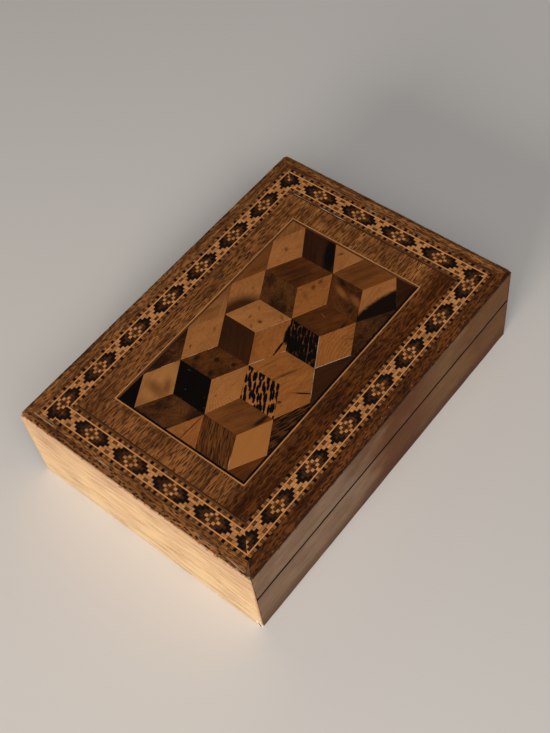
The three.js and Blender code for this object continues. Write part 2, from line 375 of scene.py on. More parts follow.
def wood(
    name, light, dark, streak=0.5, fineness=1.0, pores=0.5, pore_length=2.5, pore_tone=0.3,
    cloud=0.35, burr=0.0, spots=0.0, specks=0.0, rough=0.42, specular=0.18, relief=0.03, worn=None,
    flecks=None, rings=None, marks=(), middle=Vector((0, 0)), turn=0.0, tinted=False, seam=False,
    shades=(),
):
    """A waxed wood: streaked grain, dark open pores, clouds of colour and optional figure.

    burr swirls the grain, spots adds small dark eyes and specks pale nicks. flecks is (radius,
    length, pitch, colour) for one fleck in each cell of that length and pitch, rings is
    (x, y, pitch) for growth rings, marks are stains (see stain), worn is the colour along the
    arrises, seam darkens the joint between tray and lid, tinted varies small pieces by their own
    tint, and shades is a list of (factors, axis, start, end), each fading in from start to end.
    Colours are screen values from 0 to 255.
    """
    n = Nodes(name)
    light, dark = srgb(*light), srgb(*dark)
    p = n.coordinates()
    p_grain = swirled(n, p, burr) if burr else p
    grain = n.noise(p_grain, finer(GRAIN_PACE, fineness), 6.0, 0.5, 0.62)
    fibre = n.noise(p_grain, finer(FIBRE_PACE, fineness))
    clouds = n.noise(p, CLOUD_PACE)
    tone = n.times(n.range(grain, *MIDTONES), streak)
    tone = n.plus(tone, n.times(n.range(clouds, *MIDTONES), cloud))
    tone = n.plus(tone, n.swing(fibre, 1.1 * streak))
    if tinted:
        tint = n.add("ShaderNodeAttribute", attribute_name="tint").outputs["Fac"]
        tone = n.plus(tone, n.swing(tint, 0.8))
    if rings:
        tone = n.plus(tone, growth_rings(n, p, clouds, rings, middle, turn))
    colour = n.mix(n.math("ADD", tone, 0.0, clamp=True), light, dark)
    dark_pore = tuple(pore_tone * c for c in dark)
    pore = pore_map(n, p_grain, pores, pore_length, fineness)
    colour = n.mix(pore, colour, dark_pore)
    if spots:
        colour = n.mix(dark_eyes(n, p, spots), colour, dark_pore)
    if flecks:
        *shape, fleck_colour = flecks
        colour = n.mix(fleck_map(n, p, p_grain, *shape), colour, srgb(*fleck_colour))
    if shades:
        colour = shaded(n, colour, clouds, shades)
    if specks:
        nicks = n.range(n.cells(p, (0.45,) * 3), 0.11, 0.07)
        colour = n.mix(n.times(nicks, specks), colour, NICK_COLOUR)
    if worn:
        colour = n.mix(n.times(arris_wear(n), 0.85), colour, srgb(*worn))
    if seam:
        colour = n.mix(seam_shadow(n), colour, SEAM_COLOUR)
    for mark in marks:
        colour = stain(n, p, colour, mark, middle, turn)
    polish = n.plus(rough - 0.09, n.times(n.noise(p, SMUDGE_PACE, 4.0), 0.18))
    n.surface(colour, n.plus(polish, n.times(pore, 0.25)))
    n.shader.inputs["Specular IOR Level"].default_value = specular
    height = n.minus(n.times(grain, 0.35), pore)
    n.bump(n.plus(height, n.times(fibre, 0.25)), relief)
    return n.material


def aged_brass():
    n = Nodes("aged_brass")
    place = n.place()
    cloud = n.noise(place, (260, 260, 260), 4.0)
    scratch = n.noise(place, (300, 4200, 4200), 2.0)
    tarnish = n.range(cloud, 0.42, 0.68)
    colour = n.mix(tarnish, srgb(198, 160, 92), srgb(112, 84, 46))
    n.surface(colour, n.plus(0.26, n.times(tarnish, 0.3)))
    n.shader.inputs["Metallic"].default_value = 1.0
    n.bump(scratch, 0.01)
    return n.material


# The material of the pale slivers: filler in the parquetry's joints, and painted highlights on raised
# joint edges elsewhere.
def filler_and_glints():
    n = Nodes("pale_filler_and_glints")
    grit = n.noise(n.place(), (2600, 2600, 2600))
    colour = n.mix(grit, srgb(206, 192, 170), srgb(150, 126, 98))
    n.surface(colour, n.plus(0.6, n.times(grit, 0.3)))
    n.bump(grit, 0.03)
    return n.material


# ---- Solids of wood ----
def flat(u, v, w):
    """Lies on the lid: w is the height."""
    return Vector((u, v, w))


WELD = 1e-6  # metres between points that are one


class Solid:
    """Gathers closed bodies of wood, in millimetres, and makes one object of them.

    Every point also gets its wood coordinates: along the grain, across it and into the wood.
    """

    def __init__(self, place=flat):
        self.place = place
        self.points, self.faces, self.slots, self.wood, self.tints = [], [], [], [], []

    def body(
        self, rings, grain=(1, 0, 0), normal=(0, 0, 1), origin=(0, 0, 0), shift=(0, 0, 0), slot=0,
        tint=0.5,
    ):
        """Skins the rings, which lie one above the other, and caps both ends."""
        first, count = len(self.points), len(rings[0])
        g, n = Vector(grain).normalized(), Vector(normal)
        across = n.cross(g)
        for ring in rings:
            for corner in ring:
                point = self.place(*corner)
                self.points.append(point * MM)
                p = point - Vector(origin)
                self.wood.append(Vector((p.dot(g), p.dot(across), p.dot(n))) + Vector(shift))
                self.tints.append(tint)
        faces = [tuple(reversed(range(first, first + count)))]
        for k in range(len(rings) - 1):
            a = first + k * count
            for i in range(count):
                j = (i + 1) % count
                faces.append((a + i, a + j, a + count + j, a + count + i))
        faces.append(tuple(range(first + (len(rings) - 1) * count, first + len(rings) * count)))
        self.faces += faces
        self.slots += [slot] * len(faces)

    def block(self, outline, low, high, bevel=0.05, **wood_settings):
        """A small convex piece with an eased upper edge."""
        reach = 2 * abs(area(outline)) / perimeter(outline)
        if reach < 1.5 * bevel:
            return
        middle = sum((Vector(p) for p in outline), Vector((0, 0))) / len(outline)
        keep = 1 - bevel / reach
        upper = [middle + (Vector(p) - middle) * keep for p in outline]
        self.body(
            [level(outline, low), level(outline, high - bevel), level(upper, high)], **wood_settings
        )

    def board(self, outline, low, high, edge=0.05, wear=0.05, seed=0.0, step=1.0, **wood_settings):
        """A larger piece whose upper edge is rounded, and worn unevenly along its length."""
        points = densify(outline, step)
        inward = inward_normals(points)
        worn = []
        for p in points:
            slow = noise.noise(Vector((p.x * 0.12, p.y * 0.12, seed)))
            quick = noise.noise(Vector((p.x * 0.9, p.y * 0.9, seed + 7)))
            worn.append(edge * (1 + 0.35 * slow) + wear * max(0.0, slow + 0.8 * quick - 0.1))
        rings = [level(points, low)]
        for turn in (0, 30, 60, 90):
            inset = 1 - math.cos(math.radians(turn))
            drop = 1 - math.sin(math.radians(turn))
            rings.append([
                (*(p + d * (w * inset)), high - w * drop)
                for p, d, w in zip(points, inward, worn)
            ])
        self.body(rings, **wood_settings)

    def make(self, name, materials, nodes, body="lid", weld=False):
        mesh = bpy.data.meshes.new(name)
        mesh.from_pydata(self.points, [], self.faces)
        mesh.polygons.foreach_set("material_index", self.slots)
        wood_attribute = mesh.attributes.new("wood", "FLOAT_VECTOR", "POINT")
        wood_attribute.data.foreach_set("vector", [c for p in self.wood for c in p])
        mesh.attributes.new("tint", "FLOAT", "POINT").data.foreach_set("value", self.tints)
        finish_piece(name, mesh, body, materials, nodes, weld)


def finish_piece(name, mesh, body, materials, nodes, weld=False):
    bm = bmesh.new()
    bm.from_mesh(mesh)
    if weld:
        bmesh.ops.remove_doubles(bm, verts=bm.verts, dist=WELD)
    bmesh.ops.recalc_face_normals(bm, faces=bm.faces)
    bm.to_mesh(mesh)
    bm.free()
    for material in materials:
        mesh.materials.append(material)
    piece = add_object(name, mesh)
    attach(piece, body)
    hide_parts(*nodes)


def level(outline, height):
    return [(p[0], p[1], height) for p in outline]


def around(outline):
    """Each side of an outline, as its two ends."""
    return zip(outline, outline[1:] + outline[:1])


def area(outline):
    return sum(a[0] * b[1] - b[0] * a[1] for a, b in around(outline)) / 2


def perimeter(outline):
    return sum((Vector(b) - Vector(a)).length for a, b in around(outline))


def densify(outline, step):
    points = []
    for a, b in around(outline):
        a, b = Vector(a), Vector(b)
        count = max(1, round((b - a).length / step))
        points += [a.lerp(b, k / count) for k in range(count)]
    return points


def inward_normals(points):
    """For an anticlockwise outline: each point's inward direction, longer at a corner."""
    normals = []
    for before, p, after in zip(points[-1:] + points[:-1], points, points[1:] + points[:1]):
        a, b = (p - before).normalized(), (after - p).normalized()
        both = Vector((-a.y - b.y, a.x + b.x))
        normals.append(both.normalized() / max(0.5, both.length / 2))
    return normals


def clip(outline, region):
    """The part of a convex outline inside a convex anticlockwise region."""
    points = [Vector(p) for p in outline]
    for a, b in around(region):
        a, b = Vector(a), Vector(b)
        side = Vector((a.y - b.y, b.x - a.x))
        kept = []
        for p, q in around(points):
            dp, dq = (p - a).dot(side), (q - a).dot(side)
            if dp >= 0:
                kept.append(p)
            if (dp > 0 > dq) or (dp < 0 < dq):
                kept.append(p.lerp(q, dp / (dp - dq)))
        points = kept
        if len(points) < 3:
            return []
    return points


def box_outline(x0, x1, y0, y1):
    return [(x0, y0), (x1, y0), (x1, y1), (x0, y1)]


EASE_STEP = 4.0  # between the cuts that let an edge wear unevenly
SHARP = 0.5  # radians; an edge that turns more than this is rounded
WEAR_PACE = 0.45  # per millimetre


def body_of(node):
    return {"lid": "lid", "sliding": "sliding_end"}.get(node.split("_")[0], "tray")


def eased_copy(node, material, grain, width=0.25, wear=0.05):
    """A copy of a CAD piece with its edges rounded and slightly worn."""
    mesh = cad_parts[node].data.copy()
    mesh.name = node + "_eased"
    mesh.materials.clear()
    bm = bmesh.new()
    bm.from_mesh(mesh)
    bmesh.ops.remove_doubles(bm, verts=bm.verts, dist=WELD)
    bmesh.ops.dissolve_limit(bm, angle_limit=math.radians(1), verts=bm.verts, edges=bm.edges)
    low, high = span(node)
    size = high - low
    axis = max(range(3), key=lambda i: size[i])
    along = Vector([float(i == axis) for i in range(3)])
    count = max(1, round(size[axis] / EASE_STEP))
    for k in range(1, count):
        at = low + along * (size[axis] * k / count)
        geometry = bm.verts[:] + bm.edges[:] + bm.faces[:]
        bmesh.ops.bisect_plane(bm, geom=geometry, plane_co=at * MM, plane_no=along)
    sharp = [e for e in bm.edges if len(e.link_faces) == 2 and e.calc_face_angle(0) > SHARP]
    rounded = bmesh.ops.bevel(
        bm, geom=sharp, offset=width * MM, segments=2, profile=0.5, affect="EDGES",
        clamp_overlap=True,
    )
    bm.normal_update()
    for vertex in rounded["verts"]:
        amount = noise.noise(vertex.co / MM * WEAR_PACE)
        vertex.co -= vertex.normal * (wear * MM * max(0.0, amount + 0.2))
    bm.to_mesh(mesh)
    bm.free()
    g = Vector(grain)
    n = Vector((0, 0, 1)) if abs(g.z) < 0.5 else Vector((1, 0, 0))
    across = n.cross(g)
    seed = Vector((sum(ord(c) for c in node) % 97, 0, 0))
    points = [v.co / MM + seed for v in mesh.vertices]
    values = [c for p in points for c in (p.dot(g), p.dot(across), p.dot(n))]
    mesh.attributes.new("wood", "FLOAT_VECTOR", "POINT").data.foreach_set("vector", values)
    finish_piece(node + "_eased", mesh, body_of(node), [material], [node])


# ---- Carcass: tray, lid frame and ends ----
def make_carcass():
    # The long sides carry a painted reflection of the pale floor in their wax, and their real sheen is
    # nearly off. The greyish tone near the near end and the shades along the length are that painted
    # reflection. The shade along the height makes them darker towards the bottom.
    side = wood(
        "side_walnut_painted_sheen", (152, 122, 97), (122, 93, 70), streak=0.45, fineness=0.8, pores=0.15,
        pore_length=4, cloud=0.5, rough=0.36, specular=0.03, worn=(84, 50, 26), seam=True,
        shades=(
            ((0.56, 0.3, 0.1), 0, -30, 0), ((1.35, 1.9, 3.2), 0, 12, 32),
            ((0.86, 0.72, 0.5), 0, 38, 56), ((0.62, 0.52, 0.4), 2, 9, 2),
        ),
    )
    hidden = wood(
        "inner_walnut", (132, 92, 60), (92, 60, 38), pores=0.4, cloud=0.5, rough=0.55
    )
    plain = wood(
        "board_softwood", (208, 172, 124), (170, 128, 82), cloud=0.3, pores=0.0, rough=0.62
    )
    along, across, upright = (1, 0, 0), (0, 1, 0), (0, 0, 1)
    for node in ("front_wall", "back_wall", "lid_front_rail", "lid_back_rail"):
        eased_copy(node, side, along, width=0.3, wear=0.12)
    for node in (
        "near_cross_wall", "far_cross_wall", "far_end_core", "sliding_end_core", "lid_near_rail",
        "lid_far_rail",
    ):
        eased_copy(node, hidden, across)
    for node in ("sliding_end_front_tongue", "sliding_end_back_tongue"):
        eased_copy(node, hidden, upright, width=0.1, wear=0.0)
    for node in ("base_board", "lid_board"):
        eased_copy(node, plain, along)


NICK_STEPS = 180
NICK_WAVES = ((0.5, 1.0), (1.5, 0.9))  # (pace per millimetre, size)
CORNER_RUB, CORNER_REACH = 0.7, 0.6  # how deep and how far the top corners are rubbed


def ragged_end_outline(seed, depth, broken):
    """An end veneer's outline as (y, z), with a nicked top edge and rubbed top corners.

    depth is that of the nicks, and broken the size of the corner missing at the front foot.
    """
    top = []
    for k in range(NICK_STEPS + 1):
        y = SIDE_Y - 2 * SIDE_Y * k / NICK_STEPS
        bite = sum(size * noise.noise(Vector((y * pace, seed, pace))) for pace, size in NICK_WAVES)
        rubbed = CORNER_RUB * math.exp(-(SIDE_Y - abs(y)) / CORNER_REACH)
        top.append((y, TOP - depth * max(0.0, bite) - rubbed))
    foot = [(-SIDE_Y, broken), (-SIDE_Y + broken, 0)] if broken else [(-SIDE_Y, 0)]
    return top + foot + [(SIDE_Y, 0)]


def end_face(name, node, side, outline, edge, wear, material, body):
    """A veneer on the near (-1) or far (1) side: u runs along Y, v is the height, w grows outwards."""
    low, high = span(node)
    inner, outer = sorted((side * low.x, side * high.x))
    face = Solid(lambda u, v, w: Vector((side * w, u, v)))
    face.board(outline, inner, outer, edge, wear, grain=(0, 1, 0), normal=(side, 0, 0))
    face.make(name, [material], [node], body)


def make_ends():
    # The first colour is a painted highlight around a small gap at the sliding end's front foot. The
    # second is the painted shade inside that gap.
    bare, hole_shade = (246, 232, 212), (26, 15, 10)
    pale = wood(
        "pale_end_veneer", (224, 193, 148), (196, 152, 106), streak=0.4, fineness=1.6,
        pores=0.2, pore_length=12, pore_tone=0.6, cloud=0.15, specular=0.25,
        flecks=(0.2, 26, 0.65, (126, 68, 37)), worn=(206, 160, 120),
        # Partly painted light: the veneer darkens towards its top edge and turns yellower at its foot.
        # This is partly its own tone and partly the light thrown up from the floor onto its lower part.
        shades=(((0.84, 0.78, 0.78), 2, 22, 38), ((0.93, 1.0, 1.04), 2, 14, 2)),
        marks=(
            (-51.5, -1.4, 2.2, 1.2, -69, 0.25, bare), (-51.55, -1.3, 1.5, 0.68, -69, 0.2, hole_shade),
        ),
    )
    end_face(
        "sliding_end_face", "sliding_end_veneer", -1, ragged_end_outline(3.0, depth=0.8, broken=0.4),
        0.25, 0.1, pale, "sliding_end",
    )
    brown = wood("far_end_walnut", (150, 104, 62), (104, 68, 38), cloud=0.5, worn=(90, 54, 28))
    end_face(
        "far_end_face", "far_end_veneer", 1, ragged_end_outline(11.0, depth=0.25, broken=0.0),
        0.5, 0.05, brown, "tray",
    )


# ---- Outer banding ----
JOINT = 0.07  # the dark glue line between two veneers
RUB = 0.4  # the corners of the lid are rubbed round
NEAR_FROM = 3.2  # the near banding starts this far from the back edge
NEAR_SHORT = 4.6  # and is this much shorter than the box is deep
NEAR_STEPS = 80


def hairline(y):
    """Where the joint in the near banding runs: it drifts outwards towards the front corner."""
    t = min(1.0, max(0.0, (SIDE_Y - 2.5 - y) / (2 * SIDE_Y - 3)))
    start, drift, hook = 1.2, 1.6, 1.3
    return -(BANDING_IN.x + start + drift * t + hook * t**8)


def make_banding():
    bx, by = BANDING_IN
    brown = dict(
        light=(174, 114, 62), dark=(86, 49, 22), streak=0.75, fineness=0.9, pores=0.5,
        pore_length=3.5, cloud=0.4, rough=0.5, relief=0.06, specks=0.5, worn=(52, 28, 13),
        flecks=(0.25, 3.5, 0.6, (52, 28, 12)),
    )
    chips = dict(light=(186, 122, 68), flecks=(0.27, 2.4, 1.1, (52, 28, 13)), relief=0.15)
    chipped_wood = wood("banding_chipped", **{**brown, **chips})
    long_wood = wood("banding_long", shades=(((0.48, 0.38, 0.28), 1, -25, -45),), **brown)
    short_wood = wood("banding_short", **brown)
    j = JOINT
    settings = dict(low=INLAY_Z, high=FACE, edge=0.12, wear=0.3)

    front = Solid()
    front_y = -SIDE_Y + RUB
    outline = [(-LID_X, front_y), (-LID_X + RUB, -SIDE_Y), (LID_X - RUB, -SIDE_Y), (LID_X, front_y)]
    front.board(outline + [(bx, -by - j), (-bx, -by - j)], seed=1, **settings)
    front.make("banding_front_strip", [long_wood], ["banding_front"])

    back = Solid()
    knee = hairline(SIDE_Y - 2.7)
    outline = [(knee + j, by + j), (bx, by + j), (LID_X, SIDE_Y - RUB), (LID_X - RUB, SIDE_Y)]
    outline += [(-LID_X + RUB, SIDE_Y), (-LID_X, SIDE_Y - RUB), (knee + j, SIDE_Y - 2.9)]
    back.board(outline, seed=2, **settings)
    back.make("banding_back_strip", [long_wood], ["banding_back"])

    length = 2 * SIDE_Y - NEAR_SHORT
    run = [SIDE_Y - NEAR_FROM - k * length / NEAR_STEPS for k in range(NEAR_STEPS + 1)]
    near = Solid()
    rim = [(nicked_edge(y), y) for y in run]
    outer = [(-LID_X, SIDE_Y - 0.3)] + rim + [(hairline(y) - j, y) for y in reversed(run)]
    near.board(outer, seed=3, grain=(0, 1, 0), slot=1, **settings)
    inner = [(hairline(y) + j, y) for y in run if -by - 3.4 < y < by] + [(-bx - j, -by), (-bx - j, by)]
    near.board(inner, seed=4, grain=(0, 1, 0), shift=(31, 9, 0), **settings)
    near.make("banding_near_strips", [short_wood, chipped_wood], ["banding_near"])

    far = Solid()
    split = bx + 1.4
    slope = (SIDE_Y - by) / (LID_X - bx)
    y_split = by + (split - bx) * slope
    outer = [(split + j, -y_split), (LID_X, -SIDE_Y + j), (LID_X, SIDE_Y - j), (split + j, y_split)]
    inner = [(bx + j, -by), (split - j, -y_split + 2 * j), (split - j, y_split - 2 * j), (bx + j, by)]
    far.board(outer, seed=5, grain=(0, 1, 0), **settings)
    far.board(inner, seed=6, grain=(0, 1, 0), shift=(17, 5, 0), **settings)
    far.make("banding_far_strips", [short_wood], ["banding_far"])


def nicked_edge(y):
    """The near banding's outer edge, which stands against the end veneer and has lost chips."""
    bite = noise.noise(Vector((y * 0.6, 5.5, 0))) + 0.7 * noise.noise(Vector((y * 1.9, 5.5, 2)))
    whole_from, fade = 46, 12  # towards the front corner no chips are lost
    room = min(1.0, max(0.0, (y + whole_from) / fade))
    return -LID_X - 0.25 + 0.7 * room * max(0.0, bite - 0.1)


# ---- Mosaic bands ----
# Woods: K black, D dark, M mid brown, C light brown, T tan, L boxwood lines, O a block of M
# with a rim of D.
FLOWER = (
    "OTTTO TTKTT TKKKT KKDKK KDDDK DDTDD DTMTD TMDMT DTMTD DDTDD KDMDK KKDKK TKKKT TTKTT"
).split()
CHECKS = "KCOC"
WAIST = 1.5  # the first row of the flower chart is this much longer than the others
MOSAIC_SLOTS = "KDMCTL"
CHECK = 1.25
LINE = 0.5
LINE_STEP = 12.0  # the lines are laid in lengths of this
RIM = 0.17  # of a block with a dark rim
BLOCK_GAP = 0.045
UNEVEN = 0.018  # how far a block stands above or below the others


def mosaic_woods():
    common = dict(tinted=True, streak=0.3, fineness=1.6, cloud=0.2, rough=0.45, relief=0.02)
    return [
        wood("mosaic_black", (26, 15, 9), (9, 5, 3), pores=0.2, **common),
        wood("mosaic_dark", (74, 42, 19), (32, 16, 6), pores=0.5, **common),
        wood("mosaic_brown", (112, 69, 35), (66, 37, 16), pores=0.5, **common),
        wood("mosaic_light_brown", (156, 102, 56), (104, 64, 31), pores=0.4, **common),
        wood("mosaic_tan", (206, 142, 86), (150, 94, 48), pores=0.3, **common),
        wood("mosaic_line", (220, 152, 92), (190, 126, 72), pores=0.1, **common),
        wood("mosaic_glue", (62, 38, 20), (30, 17, 8), rough=0.6),
    ]


class Band:
    """One mosaic band: t runs along it and w from its outer edge inwards."""

    def __init__(self, solid, corner, along, inwards, regions, seed):
        self.solid, self.corner = solid, Vector(corner)
        self.along, self.inwards, self.regions = Vector(along), Vector(inwards), regions
        self.random = random.Random(seed)

    def cell(self, t0, t1, w0, w1, letter):
        lift = self.random.uniform(-UNEVEN, UNEVEN)
        tint = self.random.random()
        if letter == "O":
            t_in, t_out, w_in, w_out = t0 + RIM, t1 - RIM, w0 + RIM, w1 - RIM
            ends = ((t0, t1, w0, w_in), (t0, t1, w_out, w1))
            for edges in (*ends, (t0, t_in, w_in, w_out), (t_out, t1, w_in, w_out)):
                self.patch(*edges, "D", lift, tint)
            self.patch(t_in, t_out, w_in, w_out, "M", lift, tint)
        else:
            g = BLOCK_GAP
            self.patch(t0 + g, t1 - g, w0 + g, w1 - g, letter, lift, tint)

    def patch(self, t0, t1, w0, w1, letter, lift, tint):
        corners = [(t0, w0), (t1, w0), (t1, w1), (t0, w1)]
        outline = [self.corner + self.along * t + self.inwards * w for t, w in corners]
        if area(outline) < 0:
            outline.reverse()
        shift = (self.random.uniform(0, 90), self.random.uniform(0, 90), 0)
        for region in self.regions:
            part = clip(outline, region)
            if part:
                self.solid.block(
                    part, INLAY_Z, FACE - 0.02 + lift, 0.035, grain=(*self.along, 0), shift=shift,
                    slot=MOSAIC_SLOTS.index(letter), tint=tint,
                )

    def checks(self, w0, w1, phase, pitch, length):
        spare = len(CHECKS)
        for k in range(-spare, int(length / pitch) + 2 * spare):
            t = phase + k * pitch
            self.cell(t, t + pitch, w0, w1, CHECKS[k % len(CHECKS)])

    def line(self, w0, w1, length):
        for k in range(-1, int(length / LINE_STEP) + 2):
            t0, t1 = k * LINE_STEP, (k + 1) * LINE_STEP
            self.patch(t0, t1, w0 + 0.03, w1 - 0.03, "L", 0.02, 0.5)

    def bed(self):
        """The dark glue that fills the gaps between the blocks."""
        for region in self.regions:
            self.solid.block(region, INLAY_Z, FACE - 0.1, slot=len(MOSAIC_SLOTS))

    def field(self, w0, w1, phase, period, length):
        row = period / (len(FLOWER) - 1 + WAIST)
        column = (w1 - w0) / len(FLOWER[0])
        for k in range(-2, int(length / period) + 2):
            t = phase + k * period - WAIST * row / 2
            for index, letters in enumerate(FLOWER):
                t_next = t + (WAIST * row if index == 0 else row)
                for c, letter in enumerate(letters):
                    self.cell(t, t_next, w0 + c * column, w0 + (c + 1) * column, letter)
                t = t_next


def make_band(name, corner, along, inwards, length, regions, phases, period, seed):
    """phases: where an X of the field and a black check of the outer and inner row begin."""
    solid = Solid()
    band = Band(solid, corner, along, inwards, regions, seed)
    width = BANDING_IN.y - MOSAIC_IN.y
    x_phase, outer_phase, inner_phase = phases
    inner = width - CHECK
    pitch = CHECK * 0.99
    band.checks(0, CHECK, outer_phase, pitch, length)
    band.line(CHECK, CHECK + LINE, length)
    band.field(CHECK + LINE, inner - LINE, x_phase, period, length)
    band.line(inner - LINE, inner, length)
    band.checks(inner, width, inner_phase, pitch, length)
    band.bed()
    solid.make(f"mosaic_{name}_blocks", MOSAIC_WOODS, [f"mosaic_{name}"])


def make_mosaic():
    bx, by = BANDING_IN
    mx, my = MOSAIC_IN
    long_side, short_side = 2 * bx, 2 * by
    front = [(-bx, -by), (bx, -by), (mx, -my), (-mx, -my)]
    make_band("front", (-bx, -by), (1, 0), (0, 1), long_side, [front], (11.4, 4.9, 11.1), 18.4, 1)
    shelf = my + 2.5  # the back band runs through at the near corner above this line
    back = [(-bx, my), (mx, my), (bx, by), (-bx, by)]
    over = clip(box_outline(-bx, bx, shelf, by), back)
    under = clip(box_outline(-mx - 0.3, mx + 3, my, shelf), back)
    regions, phases = [over, under], (17.0, 1.6, 8.2)
    make_band("back", (-bx, by), (1, 0), (0, -1), long_side, regions, phases, 18.6, 2)
    near = [(-bx, -by), (-mx, -my), (-mx, my), (-mx - 0.4, shelf - 0.1), (-bx, shelf - 0.1)]
    make_band("near", (-bx, by), (0, -1), (1, 0), short_side, [near], (12.3, 4.4, 6.0), 18.3, 3)
    far = [(bx, -by), (bx, by), (mx, my), (mx, -my)]
    make_band("far", (bx, by), (0, -1), (-1, 0), short_side, [far], (10.5, 2.0, 3.0), 18.4, 4)


# ---- Border, stringing and inner lines ----
def make_border():
    brown = wood(
        "border_walnut", (164, 104, 54), (90, 51, 22), streak=0.75, fineness=1.0, pores=0.5,
        pore_length=3.0, cloud=0.5, rough=0.46, relief=0.05, specks=0.12,
        flecks=(0.27, 4.5, 0.62, (52, 27, 11)),
        shades=(((0.43, 0.33, 0.2), 1, -24, -34), ((1.35, 1.4, 1.4), 0, 25, 52)),
    )
    ring = Solid()
    e = 0.08  # the eased edges
    outer, inner = BORDER_OUT, LIGHT_OUT + Vector((JOINT, JOINT))
    loops = [
        (outer.x, outer.y, INLAY_Z), (outer.x, outer.y, FACE - e), (outer.x - e, outer.y - e, FACE),
        (inner.x + e, inner.y + e, FACE), (inner.x, inner.y, FACE - e), (inner.x, inner.y, INLAY_Z),
    ]
    signs = ((-1, -1), (1, -1), (1, 1), (-1, 1))
    corners = [[(sx * x, sy * y, z) for sx, sy in signs] for x, y, z in loops]
    ring.body(corners + corners[:1])
    ring.faces = [f for f in ring.faces if len(set(f)) == len(f)][1:-1]
    ring.slots = [0] * len(ring.faces)
    ring.make("border_veneer_sheet", [brown], ["border_veneer"], weld=True)


def make_strings():
    pale = wood(
        "boxwood_string", (206, 142, 84), (160, 104, 58), streak=0.4, pores=0.1, rough=0.45
    )
    black = wood("black_string", (16, 10, 7), (5, 3, 2), pores=0.3, rough=0.4)
    faded = wood("faded_string", (104, 66, 38), (60, 35, 18), pores=0.3, rough=0.5)
    meeting = DARK_OUT + Vector((0.15, 0.15))
    for name, material, outer, inner, slot in (
        ("light_string", pale, LIGHT_OUT, meeting, "boxwood_string"),
        ("dark_string", black, meeting, PANEL, "ebony_string"),
    ):
        ox, oy, ix, iy = outer.x, outer.y, inner.x + 0.02, inner.y + 0.02
        sides = {
            "front": ([(-ox, -oy), (ox, -oy), (ix, -iy), (-ix, -iy)], (1, 0, 0)),
            "back": ([(-ix, iy), (ix, iy), (ox, oy), (-ox, oy)], (1, 0, 0)),
            "near": ([(-ox, -oy), (-ix, -iy), (-ix, iy), (-ox, oy)], (0, 1, 0)),
            "far": ([(ox, -oy), (ox, oy), (ix, iy), (ix, -iy)], (0, 1, 0)),
        }
        for side, (outline, grain) in sides.items():
            strip = Solid()
            strip.board(
                outline, INLAY_Z, FACE + 0.01, seed=len(side), step=2.0, grain=grain
            )
            worn_away = material is black and side in ("back", "far")
            shown = faded if worn_away else material
            strip.make(f"{name}_{side}_strip", [shown], [f"{name}_{side}"])


def make_inner_lines():
    """On the short sides: a brown strip beside the mosaic and a dark one beside the border."""
    woods = [MOSAIC_WOODS[MOSAIC_SLOTS.index("M")], MOSAIC_WOODS[-1]]
    mosaic_edge, border_edge = MOSAIC_IN.x - 0.05, BORDER_OUT.x + 0.05
    parting = border_edge + 0.35
    strips = ((mosaic_edge, parting + 0.02), (parting - 0.02, border_edge))
    for side, sign in (("near", -1), ("far", 1)):
        line = Solid()
        for slot, edges in enumerate(strips):
            x0, x1 = sorted(sign * x for x in edges)
            outline = box_outline(x0, x1, -MOSAIC_IN.y, MOSAIC_IN.y)
            line.board(outline, INLAY_Z, FACE - 0.01, seed=slot, grain=(0, 1, 0), slot=slot)
        line.make(f"inner_line_{side}_strips", woods, [f"inner_line_{side}"])


# ---- Cube parquetry ----
BLACK, DARK, BROWN, TAN = (10, 5, 3), (38, 19, 7), (92, 54, 24), (122, 76, 38)
SPECIES = {
    "A": dict(light=(170, 108, 54), dark=(158, 98, 48), streak=0.3, pores=0.0, cloud=0.2),
    "B": dict(light=(174, 112, 60), dark=(136, 84, 42), streak=0.4, pores=0.15, burr=0.4),
    "C": dict(light=(164, 100, 48), dark=(126, 73, 32), streak=0.5, pores=0.2, burr=0.3),
    "L": dict(light=(174, 116, 64), dark=(134, 86, 45), streak=0.25, pores=0.05, cloud=0.7),
    "T": dict(light=(158, 102, 56), dark=(118, 72, 35), streak=0.4, pores=0.2, cloud=0.7),
    "D": dict(light=(126, 74, 32), dark=(84, 45, 17), streak=0.4, pores=0.2, cloud=0.5),
    "R": dict(light=(104, 56, 20), dark=(62, 30, 8), streak=0.4, pores=0.3, cloud=0.7),
    "E": dict(light=(62, 32, 12), dark=(38, 18, 6), streak=0.4, pores=0.3, fineness=1.4),
    "W": dict(light=(100, 58, 25), dark=(42, 21, 7), pores=0.5, burr=0.6, cloud=0.9),
    "G": dict(light=(104, 57, 21), dark=(54, 26, 8), burr=0.5, spots=0.3, cloud=0.7),
    "J": dict(light=(126, 74, 31), dark=(64, 32, 10), streak=0.9, pores=0.9, pore_length=4),
    "F": dict(light=(15, 8, 5), dark=(7, 3, 2), pores=0.2, specks=0.12, rough=0.36),
    "V": dict(light=(62, 31, 11), dark=(30, 14, 5), streak=0.4, fineness=0.6, pores=0.2),
    "H": dict(light=(176, 112, 56), dark=(138, 84, 40), pores=0, flecks=(0.49, 4.2, 1.02, BLACK)),
    "I": dict(light=(110, 66, 32), dark=(60, 34, 14), pores=0, flecks=(0.62, 3.6, 0.7, BLACK)),
    "K": dict(light=(96, 55, 22), dark=(62, 33, 11), flecks=(0.42, 5.5, 0.6, (20, 10, 4))),
}

# The woods of each row, from the near end to the far end and from the back to the front.
CHART = {
    "back_triangle": "FWTDT",
    "back_diamond": "LBBB",
    "back_side": "WFGEBWRV",
    "middle_diamond": "CBCCB",
    "middle_side": "JDHCIRGD",
    "front_diamond": "ACCB",
    "front_triangle": "RKEWV",
}

